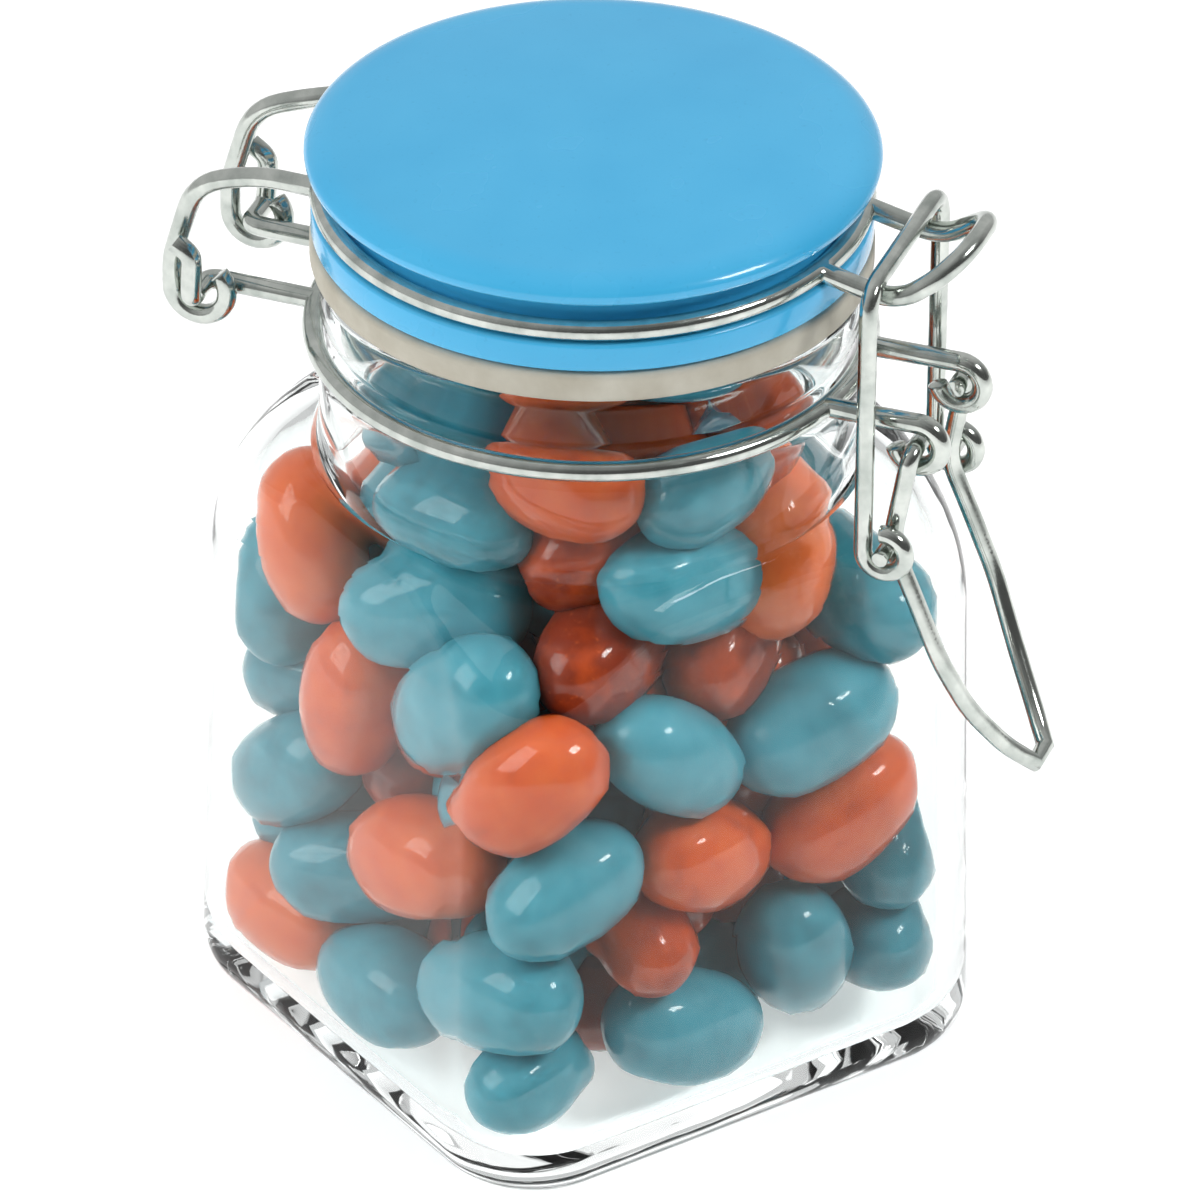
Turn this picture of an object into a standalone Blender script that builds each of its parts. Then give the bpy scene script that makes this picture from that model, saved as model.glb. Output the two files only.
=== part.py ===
"""A small square clip-top jar filled with jelly beans.

Everything is in metres with +Z up. The origin is the middle of the jar's flat base. The hinge of the
wire closure is on the +Y side and its clasp on the -Y side, so every wire pivot turns about the X axis.
The square body is turned on the round neck, as the closure sits near one of its corners.
"""
import math
import random

import bmesh
import bpy
import numpy as np
from mathutils import Matrix, Vector

MM = 0.001

# Glass body: a square section with rounded corners that turns into a round neck
BODY_TURN = math.radians(55)
BODY_HALF = 30.0 * MM
BODY_CORNER = 11.0 * MM
HEEL = 6.0 * MM
SIDE_TOP = 50.0 * MM
SHOULDER_TOP = 65.0 * MM
SHOULDER_HALF = 29.5 * MM
SHOULDER_CORNER = 11.8 * MM
NECK_FOOT = 26.8 * MM
NECK_RADIUS = 26.0 * MM
GROOVE_RADIUS = 25.3 * MM
RIM_TOP = 84.9 * MM
RIM_LIP = 1.2 * MM
WALL = 2.5 * MM
FLOOR = 4.0 * MM
BORE_RADIUS = 23.4 * MM
CORNER_POINTS = 9

# Closure wires
WIRE = 2.0 * MM
CLASP_WIRE = 1.8 * MM
STUB_WIRE = 1.6 * MM
NECK_WIRE_Z = 77.6 * MM
NECK_RING = 26.6 * MM
LID_WIRE_Z = 92.7 * MM
LID_RING = 25.95 * MM
GAP = 0.3 * MM
RING_POINTS = 32

# Pivots, as (Y, Z) of an axis along X
HINGE = (37.2 * MM, NECK_WIRE_Z)
LEVER_PIVOT = (-35.2 * MM, 75.5 * MM)
BAIL_PIVOT = (-33.5 * MM, 65.5 * MM)
HINGE_HOOK = 2.8 * MM
CLASP_EYE = 2.3 * MM
BAIL_EYE = 2.1 * MM

# Distance of each wire's plane from the middle of the closure
NECK_ARM_X = 5.3 * MM
HINGE_ARM_X = 7.5 * MM
PIN_END_X = 9.9 * MM
CLASP_EYE_X = 6.0 * MM
LEVER_X = 8.2 * MM
BAIL_X = 10.3 * MM

# Lid and gasket
FLANGE_BOTTOM = 88.6 * MM
FLANGE_TOP = 91.5 * MM
FLANGE_RADIUS = 26.8 * MM
LID_RADIUS = 27.5 * MM
LID_EDGE_Z = 96.8 * MM
LID_TOP = 99.6 * MM
LID_DOME = 1.0 * MM
LID_FLAT = 24.3 * MM
LID_GROOVE = 24.6 * MM
PLUG_RADIUS = 21.8 * MM
PLUG_BOTTOM = 81.4 * MM
GASKET_RADIUS = 26.9 * MM
TURN_STEPS = 32

# Jelly beans
BEAN_LENGTH = 17.2 * MM
BEAN_WIDTH = 11.4 * MM
BEAN_DEPTH = 10.6 * MM
BEAN_BEND = 0.9 * MM
BEAN_SEED = 7
CORNER_REACH = 80
PUSH_SHARE = 0.6
HOME_SHARE = 0.02
SPIN_SHARE = 0.15
SEAT_ROUNDS = 25
SEAT_GAP = 0.4 * MM
BEAN_SIDES = 7
BEAN_RINGS = 5
HEAP_TOP = 75.4 * MM

# Beans that lie against two neighbouring sides and their corners, from the floor up. Each row gives the
# angle round the jar from the front corner in degrees, the height of the middle in millimetres, the tilt
# of the long axis in the face of the glass and how far it turns inward, both in degrees, the size as a
# share of a whole bean, and how far the bean lies behind the glass in millimetres.
FRONT_CORNER = math.radians(-170)
WALL_BEANS = (
    (-85, 9.6, 0, 0, 1.0, 0), (-47, 9.6, 7, 0, 1.0, 0), (-2, 9.6, 0, 80, 0.85, 0),
    (35, 10.6, -24, 5, 1.06, 0), (70, 15.0, -64, 20, 1.0, 0), (93, 9.8, -30, 0, 1.0, 0),
    (-76, 17.8, 10, 55, 1.0, 0), (-6, 19.5, 19, 5, 1.06, 0), (93, 19.5, -20, 15, 1.0, 0),
    (-98, 18.5, 80, 50, 1.0, 0), (26, 23.0, 60, 70, 0.9, 0), (6, 31.0, 30, 0, 1.0, 0),
    (-33, 27.5, 19, 5, 1.06, 0), (-82, 27.0, 65, 15, 1.0, 0), (43, 31.0, -32, 15, 1.0, 0),
    (78, 28.5, 30, 0, 1.05, 0), (-96, 31.0, 80, 60, 1.0, 0), (-62, 39.5, 80, 0, 1.0, 0),
    (-1, 44.3, 45, 0, 1.0, 0), (32, 43.5, -46, 0, 1.0, 0), (72, 40.5, 11, 0, 1.08, 0),
    (-95, 42.0, 85, 0, 1.0, 0), (-20, 50.0, 42, 8, 1.06, 0), (55, 47.5, 20, 25, 1.0, 5),
    (87, 50.0, 0, 70, 1.05, 0), (-33, 57.5, -10, 35, 1.05, 0), (-86, 52.5, 75, 0, 1.0, 0),
    (43, 62.0, -30, 0, 1.1, 0), (12, 54.5, 10, 20, 1.0, 6), (-66, 63.0, 40, 20, 1.0, 0),
    (74, 61.5, 75, 10, 1.1, 0), (-32, 67.0, 22, 0, 1.0, 0), (10, 64.0, 80, 20, 1.0, 2),
    (42, 70.0, 10, 30, 0.9, 0),
)


def new_object(name, mesh, collection):
    obj = bpy.data.objects.new(name, mesh)
    collection.objects.link(obj)
    return obj


def mesh_from_bmesh(name, bm):
    mesh = bpy.data.meshes.new(name)
    bmesh.ops.recalc_face_normals(bm, faces=bm.faces)
    bm.to_mesh(mesh)
    bm.free()
    return mesh


def material(name, colour, roughness, metallic=0.0, transmission=0.0):
    mat = bpy.data.materials.new(name)
    mat.use_nodes = True
    shader = mat.node_tree.nodes["Principled BSDF"]
    shader.inputs["Base Color"].default_value = (*colour, 1.0)
    shader.inputs["Roughness"].default_value = roughness
    shader.inputs["Metallic"].default_value = metallic
    shader.inputs["Transmission Weight"].default_value = transmission
    return mat


def finish(obj, mat):
    obj.data.materials.append(mat)
    obj.data.shade_smooth()
    obj.data.set_sharp_from_angle(angle=math.radians(50))
    return obj


# The glass

def section(half, corner, z):
    """Points round a square of the given half width whose corners have the given radius."""
    points = []
    for quarter in range(4):
        start = BODY_TURN + quarter * math.pi / 2
        middle = Matrix.Rotation(start, 2) @ Vector((half - corner, half - corner))
        for k in range(CORNER_POINTS):
            a = start + (k + 0.5) / CORNER_POINTS * math.pi / 2
            points.append(Vector((middle.x + corner * math.cos(a), middle.y + corner * math.sin(a), z)))
    return points


def heel_sections(inset, base, radius, steps):
    """Sections up the rounding between a floor and the sides, inset from the outside of the body."""
    sections = []
    for k in range(steps + 1):
        a = k / steps * math.pi / 2
        step_in = inset + radius * (1 - math.sin(a))
        sections.append((BODY_HALF - step_in, BODY_CORNER - step_in, base + radius * (1 - math.cos(a))))
    return sections


def shoulder_section(lift, inset):
    """Half width and corner radius of the shoulder at a share of its height."""
    fade = math.sqrt(max(1 - lift ** 2, 0))
    half = NECK_FOOT + (SHOULDER_HALF - NECK_FOOT) * fade
    corner = NECK_FOOT + (SHOULDER_CORNER - NECK_FOOT) * fade ** 1.15
    return half - inset, corner - inset


def shoulder_height(inset):
    return SHOULDER_TOP - 0.8 * inset - SIDE_TOP


def shoulder_sections(inset, steps):
    """Sections up the shoulder, from the top of the square sides to the round foot of the neck."""
    sections = []
    for k in range(steps + 1):
        lift = math.sin(k / steps * math.pi / 2)
        sections.append((*shoulder_section(lift, inset), SIDE_TOP + lift * shoulder_height(inset)))
    return sections


def round_sections(profile):
    return [(r, r, z) for r, z in profile]


def glass_jar(collection):
    outside = heel_sections(0, 0, HEEL, 3) + shoulder_sections(0, 6)
    outside += round_sections((
        (NECK_RADIUS + 0.2 * MM, SHOULDER_TOP + 1.4 * MM), (NECK_RADIUS, SHOULDER_TOP + 4 * MM),
        (NECK_RADIUS, NECK_WIRE_Z - 3 * MM), (GROOVE_RADIUS, NECK_WIRE_Z - 1.6 * MM),
        (GROOVE_RADIUS, NECK_WIRE_Z + 1.2 * MM), (NECK_RADIUS, NECK_WIRE_Z + 2.6 * MM),
        (NECK_RADIUS, RIM_TOP - RIM_LIP), (NECK_RADIUS - 0.3 * RIM_LIP, RIM_TOP - 0.3 * RIM_LIP),
        (NECK_RADIUS - RIM_LIP, RIM_TOP)))
    inside = round_sections(((BORE_RADIUS + 0.6 * MM, RIM_TOP), (BORE_RADIUS, RIM_TOP - 0.7 * MM),
                             (BORE_RADIUS, SHOULDER_TOP + 3 * MM)))
    inside += list(reversed(shoulder_sections(WALL, 8)))
    inside += list(reversed(heel_sections(WALL, FLOOR, HEEL - 1.5 * MM, 3)))

    bm = bmesh.new()
    rings = [[bm.verts.new(p) for p in section(*s)] for s in outside + inside]
    for low, high in zip(rings, rings[1:]):
        for k in range(len(low)):
            n = (k + 1) % len(low)
            bm.faces.new((low[k], low[n], high[n], high[k]))
    bm.faces.new(rings[0])
    bm.faces.new(rings[-1])
    return new_object("glass_jar", mesh_from_bmesh("glass_jar", bm), collection)


# Turned pieces

def turned(name, profile, collection):
    """A closed or axis-to-axis profile of (radius, height) points, spun about the jar's axis."""
    bm = bmesh.new()
    verts = [bm.verts.new((r, 0, z)) for r, z in profile]
    for a, b in zip(verts, verts[1:]):
        bm.edges.new((a, b))
    if profile[0][0] > 0:
        bm.edges.new((verts[-1], verts[0]))
    mesh = bpy.data.meshes.new(name)
    bm.to_mesh(mesh)
    bm.free()
    obj = new_object(name, mesh, collection)
    screw = obj.modifiers.new("Turn", "SCREW")
    screw.axis = "Z"
    screw.steps = TURN_STEPS
    screw.render_steps = TURN_STEPS
    screw.use_merge_vertices = True
    screw.merge_threshold = 0.00001
    screw.use_smooth_shade = True
    return obj


def lid_crown(steps):
    """The lid's gently domed top and rounded edge, as (radius, height) points from the middle outwards."""
    dome = [(LID_FLAT * k / steps, LID_TOP - LID_DOME * (k / steps) ** 2) for k in range(steps)]
    width, height = LID_RADIUS - LID_FLAT, LID_TOP - LID_DOME - LID_EDGE_Z
    angles = [math.pi / 2 * k / steps for k in range(steps + 1)]
    return dome + [(LID_FLAT + width * math.sin(a), LID_EDGE_Z + height * math.cos(a)) for a in angles]


def lid(collection):
    profile = (
        *lid_crown(3),
        (LID_RADIUS - 0.3 * MM, LID_EDGE_Z - 0.7 * MM), (LID_GROOVE + 0.8 * MM, LID_EDGE_Z - 1.3 * MM),
        (LID_GROOVE, LID_EDGE_Z - 2.1 * MM), (LID_GROOVE, FLANGE_TOP), (FLANGE_RADIUS - 0.6 * MM, FLANGE_TOP),
        (FLANGE_RADIUS, FLANGE_TOP - 0.7 * MM), (FLANGE_RADIUS, FLANGE_BOTTOM + 0.4 * MM),
        (FLANGE_RADIUS - 0.4 * MM, FLANGE_BOTTOM), (PLUG_RADIUS, FLANGE_BOTTOM),
        (PLUG_RADIUS - 0.2 * MM, PLUG_BOTTOM + 1 * MM), (PLUG_RADIUS - 1.2 * MM, PLUG_BOTTOM),
        (PLUG_RADIUS - 3.4 * MM, PLUG_BOTTOM), (PLUG_RADIUS - 4.8 * MM, PLUG_BOTTOM + 1.2 * MM),
        (0, PLUG_BOTTOM + 1.4 * MM))
    return turned("lid", profile, collection)


def gasket(collection):
    low, high = RIM_TOP + GAP, FLANGE_BOTTOM - GAP
    inner = PLUG_RADIUS + GAP
    edge = 0.6 * MM
    profile = ((inner, high), (GASKET_RADIUS - edge, high), (GASKET_RADIUS, high - edge),
               (GASKET_RADIUS, low + edge), (GASKET_RADIUS - edge, low), (inner, low))
    return turned("gasket", profile, collection)


# Bent wires

def bent(corners, radius, steps=3):
    """A path through the given corners, each rounded to about the given bend radius."""
    points = [Vector(corners[0])]
    for before, here, after in zip(corners, corners[1:], corners[2:]):
        here = Vector(here)
        back, ahead = Vector(before) - here, Vector(after) - here
        reach = min(radius, 0.45 * back.length, 0.45 * ahead.length)
        start, end = here + back.normalized() * reach, here + ahead.normalized() * reach
        for k in range(steps + 1):
            t = k / steps
            points.append(start.lerp(here, t).lerp(here.lerp(end, t), t))
    points.append(Vector(corners[-1]))
    return points


def eye(x, centre, radius, first, last, steps):
    """Points round part of a circle about an axis along X, from one angle to another in degrees."""
    angles = [math.radians(first + (last - first) * k / steps) for k in range(steps + 1)]
    return [Vector((x, centre[0] + radius * math.cos(a), centre[1] + radius * math.sin(a))) for a in angles]


def mirrored(points):
    return [Vector((-p.x, p.y, p.z)) for p in points]


def wire(name, points, diameter, collection, closed=False):
    """A round wire along the points, as a mesh whose ends are closed."""
    curve = bpy.data.curves.new(name, "CURVE")
    curve.dimensions = "3D"
    curve.bevel_depth = diameter / 2
    curve.bevel_resolution = 2
    curve.use_fill_caps = True
    spline = curve.splines.new("POLY")
    spline.points.add(len(points) - 1)
    for place, p in zip(spline.points, points):
        place.co = (*p, 1)
    spline.use_cyclic_u = closed
    guide = new_object(name + "_path", curve, collection)
    bpy.context.view_layer.update()
    evaluated = guide.evaluated_get(bpy.context.evaluated_depsgraph_get())
    mesh = bpy.data.meshes.new_from_object(evaluated)
    bpy.data.objects.remove(guide)
    bm = bmesh.new()
    bm.from_mesh(mesh)
    bmesh.ops.remove_doubles(bm, verts=bm.verts, dist=0.00001)
    bm.to_mesh(mesh)
    bm.free()
    return new_object(name, mesh, collection)


def join(first, others, solver="EXACT"):
    """Fuses the other objects to the first with one union, and removes them."""
    group = bpy.data.collections.new(first.name + "_joined")
    for other in others:
        group.objects.link(other)
    union = first.modifiers.new("Join", "BOOLEAN")
    union.operation = "UNION"
    union.operand_type = "COLLECTION"
    union.collection = group
    union.solver = solver
    bpy.context.view_layer.update()
    evaluated = first.evaluated_get(bpy.context.evaluated_depsgraph_get())
    mesh = bpy.data.meshes.new_from_object(evaluated)
    first.modifiers.clear()
    first.data = mesh
    for other in others:
        bpy.data.objects.remove(other)
    bpy.data.collections.remove(group)
    return first


def ring_points(radius, z):
    angles = [2 * math.pi * k / RING_POINTS for k in range(RING_POINTS)]
    return [Vector((radius * math.cos(a), radius * math.sin(a), z)) for a in angles]


def on_ring(radius, x, side):
    """The Y of the ring's middle line at a given X, on the hinge side (+1) or the clasp side (-1)."""
    return side * math.sqrt(radius ** 2 - x ** 2)


def lid_wire(collection):
    ring = wire("lid_wire", ring_points(LID_RING, LID_WIRE_Z), WIRE, collection, closed=True)
    x, root = HINGE_ARM_X, HINGE_ARM_X + 2 * MM
    outer = HINGE[0] + HINGE_HOOK
    arm = bent([(root, on_ring(LID_RING, root, 1), LID_WIRE_Z),
                (x + 0.4 * MM, 31 * MM, LID_WIRE_Z - 0.9 * MM), (x, 37.6 * MM, LID_WIRE_Z - 3.4 * MM),
                (x, outer, HINGE[1] + 3 * MM), (x, outer, HINGE[1] + 0.5 * MM)], 3.5 * MM)
    arm += eye(x, HINGE, HINGE_HOOK, 0, -225, 8)
    tab_x = 6.4 * MM
    tab = [Vector((tab_x, on_ring(LID_RING, tab_x, -1), LID_WIRE_Z)), Vector((tab_x, -28.5 * MM, 91.9 * MM)),
           Vector((tab_x, -31.8 * MM, 91.3 * MM)), Vector((tab_x - 0.2 * MM, -34.0 * MM, 91.8 * MM)),
           Vector((tab_x - 1 * MM, -36.6 * MM, 93.8 * MM)), Vector((tab_x - 2.6 * MM, -38.2 * MM, 95.4 * MM)),
           Vector((tab_x - 4.8 * MM, -38.9 * MM, 96.2 * MM))]
    tab = tab + list(reversed(mirrored(tab)))
    pieces = [wire("hinge_arm", arm, WIRE, collection), wire("hinge_arm", mirrored(arm), WIRE, collection),
              wire("tab", tab, WIRE, collection)]
    return join(ring, pieces)


def neck_wire(collection):
    ring = wire("neck_wire", ring_points(NECK_RING, NECK_WIRE_Z), WIRE, collection, closed=True)
    y, z = HINGE
    hinge_arm = bent([(NECK_ARM_X, on_ring(NECK_RING, NECK_ARM_X, 1), z), (NECK_ARM_X, y, z),
                      (PIN_END_X, y, z), (PIN_END_X, y - 0.2 * MM, z + 5 * MM),
                      (PIN_END_X, y + 1.6 * MM, z + 6.2 * MM)], 1.3 * MM, 2)
    x = CLASP_EYE_X
    clasp_arm = [Vector((x, on_ring(NECK_RING, x, -1), NECK_WIRE_Z))]
    clasp_arm += eye(x, LEVER_PIVOT, CLASP_EYE, 85, 345, 9)
    pieces = []
    for path in (hinge_arm, clasp_arm):
        pieces += [wire("arm", path, WIRE, collection), wire("arm", mirrored(path), WIRE, collection)]
    return join(ring, pieces)


def bail(collection):
    top_y, top_z = -31.4 * MM, 93.8 * MM
    half = eye(BAIL_X, BAIL_PIVOT, BAIL_EYE, -280, 0, 10)
    half += bent([(BAIL_X, BAIL_PIVOT[0] + BAIL_EYE, BAIL_PIVOT[1] + 0.5 * MM), (BAIL_X, top_y, top_z),
                  (0, top_y, top_z)], 3.2 * MM)[:-1]
    path = half + list(reversed(mirrored(half)))
    return wire("bail", path, CLASP_WIRE, collection)


def lever(collection):
    y, z = LEVER_PIVOT
    low_y, low_z = BAIL_PIVOT
    pin_end = CLASP_EYE_X - 1.4 * MM
    half = bent([(pin_end, y, z), (LEVER_X, y, z), (LEVER_X, low_y, low_z), (LEVER_X, -35.9 * MM, 60 * MM),
                 (LEVER_X, -38.6 * MM, 53.4 * MM), (6.6 * MM, -41.2 * MM, 47.4 * MM),
                 (4.0 * MM, -44.2 * MM, 42.4 * MM), (1.6 * MM, -46.3 * MM, 39.6 * MM)], 2.2 * MM, 2)
    path = half + list(reversed(mirrored(half)))
    handle = wire("lever", path, CLASP_WIRE, collection)
    end = BAIL_X + CLASP_WIRE / 2 + 0.5 * MM
    stubs = []
    for side in (-1, 1):
        ends = [Vector((side * LEVER_X, low_y, low_z)), Vector((side * end, low_y, low_z))]
        stubs.append(wire("stub", ends, STUB_WIRE, collection))
    return join(handle, stubs)


# Jelly beans

def room(z):
    """Half width and corner radius of the space inside the glass at a height."""
    if z <= SIDE_TOP:
        rise = z / SIDE_TOP
        return BODY_HALF - WALL - 0.5 * MM * rise, BODY_CORNER - WALL + 0.8 * MM * rise
    lift = (z - SIDE_TOP) / shoulder_height(WALL)
    if lift >= 1:
        return BORE_RADIUS, BORE_RADIUS
    half, corner = shoulder_section(lift, WALL)
    return half, min(corner, half)


def body_frame(v, sign):
    c, s = math.cos(BODY_TURN), sign * math.sin(BODY_TURN)
    return np.array([c * v[0] - s * v[1], s * v[0] + c * v[1]])


def outward_push(point, clearance):
    """How far, and which way, a ball at a point reaches through the glass, seen in plan."""
    half, corner = room(point[2])
    p = body_frame(point, -1)
    q = np.abs(p) - (half - corner)
    over = np.maximum(q, 0)
    length = np.hypot(*over)
    depth = length + min(max(q[0], q[1]), 0) - corner + clearance
    way = over / length if length > 0 else np.array([float(q[0] >= q[1]), float(q[0] < q[1])])
    return depth, body_frame(way * np.sign(p), 1)


def bean_balls(place, axis, size):
    """Three balls that fill a bean: its middle and its two ends."""
    reach = size * (BEAN_LENGTH / 2 - 0.44 * BEAN_WIDTH)
    middle, end = size * 0.48 * BEAN_DEPTH, size * 0.43 * BEAN_WIDTH
    return [(place, middle), (place + reach * axis, end), (place - reach * axis, end)]


def place_against_glass(angle, z, tilt, turn, inset):
    """The middle, long axis and outward way of a bean that lies against the glass or a little behind it."""
    ray = np.array([math.cos(angle), math.sin(angle)])
    near, far = 0.0, 2 * BODY_HALF
    for _ in range(30):
        middle = (near + far) / 2
        if outward_push(np.array([*(middle * ray), z]), BEAN_DEPTH / 2 + inset)[0] > 0:
            far = middle
        else:
            near = middle
    place = np.array([*(near * ray), z])
    out = np.array([*outward_push(place, 0)[1], 0.0])
    along = np.cross((0, 0, 1), out)
    axis = math.cos(tilt) * along + math.sin(tilt) * np.array([0, 0, 1.0])
    axis = math.cos(turn) * axis - math.sin(turn) * out
    return place, axis, out


def wall_beans():
    """All beans that show through the glass. The other two sides carry the rows again, half a turn on,
    without those in the corners that both pairs of sides share."""
    draw = random.Random(BEAN_SEED)
    beans = []
    for half_turn in (0, 1):
        for angle, z, tilt, turn, size, inset in WALL_BEANS:
            if half_turn and abs(angle) > CORNER_REACH:
                continue
            jitter = half_turn * draw.uniform(-9, 9)
            place, axis, out = place_against_glass(
                FRONT_CORNER + math.radians(angle) + half_turn * math.pi, (z + 0.15 * jitter) * MM,
                math.radians(tilt + 2 * jitter), math.radians(turn), inset * MM)
            beans.append([place, axis, out, size])
    return beans


def top_beans():
    """Beans on top of the heap, which show when the lid is open."""
    draw = random.Random(BEAN_SEED + 1)
    beans = []
    for count, radius, z in ((6, 15.5 * MM, 70 * MM), (2, 5 * MM, 70 * MM)):
        for k in range(count):
            a = 2 * math.pi * (k + 0.3) / count
            place = np.array([radius * math.cos(a), radius * math.sin(a), z])
            turn = a + draw.uniform(0.8, 2.2)
            axis = np.array([math.cos(turn), math.sin(turn), draw.uniform(-0.3, 0.3)])
            axis = axis / np.linalg.norm(axis)
            beans.append([place, axis, np.array([0, 0, 1.0]), draw.uniform(0.94, 1.04)])
    return beans


def settle(beans, rounds=150):
    """Pushes the beans apart and inside the glass, a little at a time."""
    home = [b[0].copy() for b in beans]
    lie = [b[1].copy() for b in beans]
    for _ in range(rounds):
        balls = [bean_balls(b[0], b[1], b[3]) for b in beans]
        centres = np.array([[c for c, _ in three] for three in balls])
        radii = np.array([[r for _, r in three] for three in balls])
        flat, flat_r = centres.reshape(-1, 3), radii.reshape(-1)
        gap = flat[:, None] - flat[None]
        far = np.linalg.norm(gap, axis=2) + 1e-9
        overlap = flat_r[:, None] + flat_r[None] - far
        owner = np.repeat(np.arange(len(beans)), 3)
        overlap[owner[:, None] == owner[None]] = 0
        push = (np.maximum(overlap, 0) / far)[:, :, None] * gap * 0.5
        force = push.sum(axis=1).reshape(-1, 3, 3)
        for k, b in enumerate(beans):
            for j in range(3):
                depth, way = outward_push(centres[k, j], radii[k, j])
                if depth > 0:
                    force[k, j, :2] -= depth * way
                    if centres[k, j, 2] > SIDE_TOP:
                        force[k, j, 2] -= 0.4 * depth
                force[k, j, 2] += max(FLOOR + radii[k, j] - centres[k, j, 2], 0)
                force[k, j, 2] -= max(centres[k, j, 2] + radii[k, j] - HEAP_TOP, 0)
            b[0] = b[0] + PUSH_SHARE * force[k].mean(axis=0) + HOME_SHARE * (home[k] - b[0])
            spin = np.cross(centres[k, 1] - b[0], force[k, 1]) + np.cross(centres[k, 2] - b[0], force[k, 2])
            b[1] = b[1] + SPIN_SHARE * np.cross(spin, b[1]) / (0.25 * BEAN_LENGTH) ** 2
            b[1] = b[1] + HOME_SHARE * (lie[k] - b[1])
            b[1] = b[1] / np.linalg.norm(b[1])
    return beans


def seat(bm):
    """Moves a bean in until all of it is clear of the glass and of the floor."""
    for _ in range(SEAT_ROUNDS):
        deepest, way = 0.0, np.zeros(2)
        inner = [e.verts[0].co.lerp(e.verts[1].co, share) for e in bm.edges for share in (0.25, 0.5, 0.75)]
        for point in [v.co for v in bm.verts] + inner:
            depth, out = outward_push(np.array(point), SEAT_GAP)
            if depth > deepest:
                deepest, way = depth, out
        low = min(v.co.z for v in bm.verts)
        shift = Vector((*(-deepest * way), max(FLOOR + SEAT_GAP - low, 0)))
        bmesh.ops.translate(bm, verts=bm.verts, vec=shift)


def bean_mesh(name, place, axis, out, size, collection):
    """A bean with few sides: a ball drawn out along its length, blunt at the ends and slightly bent."""
    side = np.cross(axis, out)
    side = side / np.linalg.norm(side)
    flat_way = np.cross(axis, side)
    bm = bmesh.new()
    bmesh.ops.create_uvsphere(bm, u_segments=BEAN_SIDES, v_segments=BEAN_RINGS, radius=1.0)
    for v in bm.verts:
        y, z, x = v.co
        round_here = math.sqrt(max(1 - x * x, 1e-6))
        blunt = (1 - min(abs(x), 1) ** 2.5) ** 0.4 / round_here if abs(x) < 0.999 else 1
        y, z = y * blunt, z * blunt
        across = size * (BEAN_WIDTH / 2 * y + BEAN_BEND * (x * x - 0.35))
        v.co = Vector(place + size * BEAN_LENGTH / 2 * x * axis + across * side
                      + size * BEAN_DEPTH / 2 * z * flat_way)
    seat(bm)
    return new_object(name, mesh_from_bmesh(name, bm), collection)


def heap_core(collection):
    """The smaller core that the beans are fused to, well behind the glass."""
    inset = WALL + 0.52 * BEAN_DEPTH
    profile = [(FLOOR + 5 * MM, inset + 2.5 * MM), (FLOOR + 8 * MM, inset), (SIDE_TOP, inset),
               (SIDE_TOP + 7 * MM, inset + 1.5 * MM), (SHOULDER_TOP, inset + 5 * MM),
               (HEAP_TOP - 6 * MM, inset + 8 * MM)]
    bm = bmesh.new()
    rings = []
    for z, step_in in profile:
        fade = min(max((z - SIDE_TOP) / (SHOULDER_TOP - SIDE_TOP), 0), 1)
        corner = 4 * MM + fade * (BODY_HALF - step_in - 4 * MM)
        points = section(BODY_HALF - step_in, corner, z)[::2]
        rings.append([bm.verts.new(p) for p in points])
    for low, high in zip(rings, rings[1:]):
        for k in range(len(low)):
            n = (k + 1) % len(low)
            bm.faces.new((low[k], low[n], high[n], high[k]))
    bm.faces.new(rings[0])
    bm.faces.new(rings[-1])
    return new_object("jelly_beans", mesh_from_bmesh("jelly_beans", bm), collection)


def fill_hollows(obj):
    """Keeps the outermost shell alone, which fills the hollows that the fusing sealed."""
    bm = bmesh.new()
    bm.from_mesh(obj.data)
    waiting = set(bm.faces)
    shells = []
    while waiting:
        shell = {waiting.pop()}
        edge_of_shell = list(shell)
        while edge_of_shell:
            face = edge_of_shell.pop()
            beside = {f for e in face.edges for f in e.link_faces} & waiting
            waiting -= beside
            shell |= beside
            edge_of_shell.extend(beside)
        shells.append(shell)
    outer = max(shells, key=lambda shell: sum(f.calc_area() for f in shell))
    bmesh.ops.delete(bm, geom=[f for f in bm.faces if f not in outer], context="FACES")
    bm.to_mesh(obj.data)
    bm.free()
    return obj


def jelly_beans(collection):
    core = heap_core(collection)
    beans = settle(wall_beans() + top_beans())
    meshes = [bean_mesh("bean", *b, collection) for b in beans]
    return fill_hollows(join(core, meshes, solver="MANIFOLD"))


def main():
    for obj in list(bpy.data.objects):
        bpy.data.objects.remove(obj, do_unlink=True)
    collection = bpy.data.collections.new("jelly_bean_jar")
    bpy.context.scene.collection.children.link(collection)

    glass = material("clear_glass", (0.92, 0.97, 0.96), 0.03, transmission=1.0)
    ceramic = material("glazed_blue_ceramic", (0.1, 0.47, 0.78), 0.12)
    rubber = material("cream_rubber", (0.78, 0.73, 0.64), 0.6)
    steel = material("bright_steel_wire", (0.72, 0.74, 0.7), 0.18, metallic=1.0)
    sugar = material("sugar_shell", (0.15, 0.42, 0.5), 0.25)

    finish(glass_jar(collection), glass)
    finish(jelly_beans(collection), sugar)
    lid(collection).data.materials.append(ceramic)
    gasket(collection).data.materials.append(rubber)
    for make in (lid_wire, neck_wire, bail, lever):
        finish(make(collection), steel)


main()
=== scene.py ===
"""The looks of a small clip-top jar of jelly beans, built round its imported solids.

Everything is in metres with +Z up, in the frame of the solids: the origin is the middle of the jar's base,
the hinge is on the +Y side and the clasp on the -Y side.
"""

import math
import random

import bmesh
import bpy
import numpy as np
from mathutils import Matrix, Vector


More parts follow.
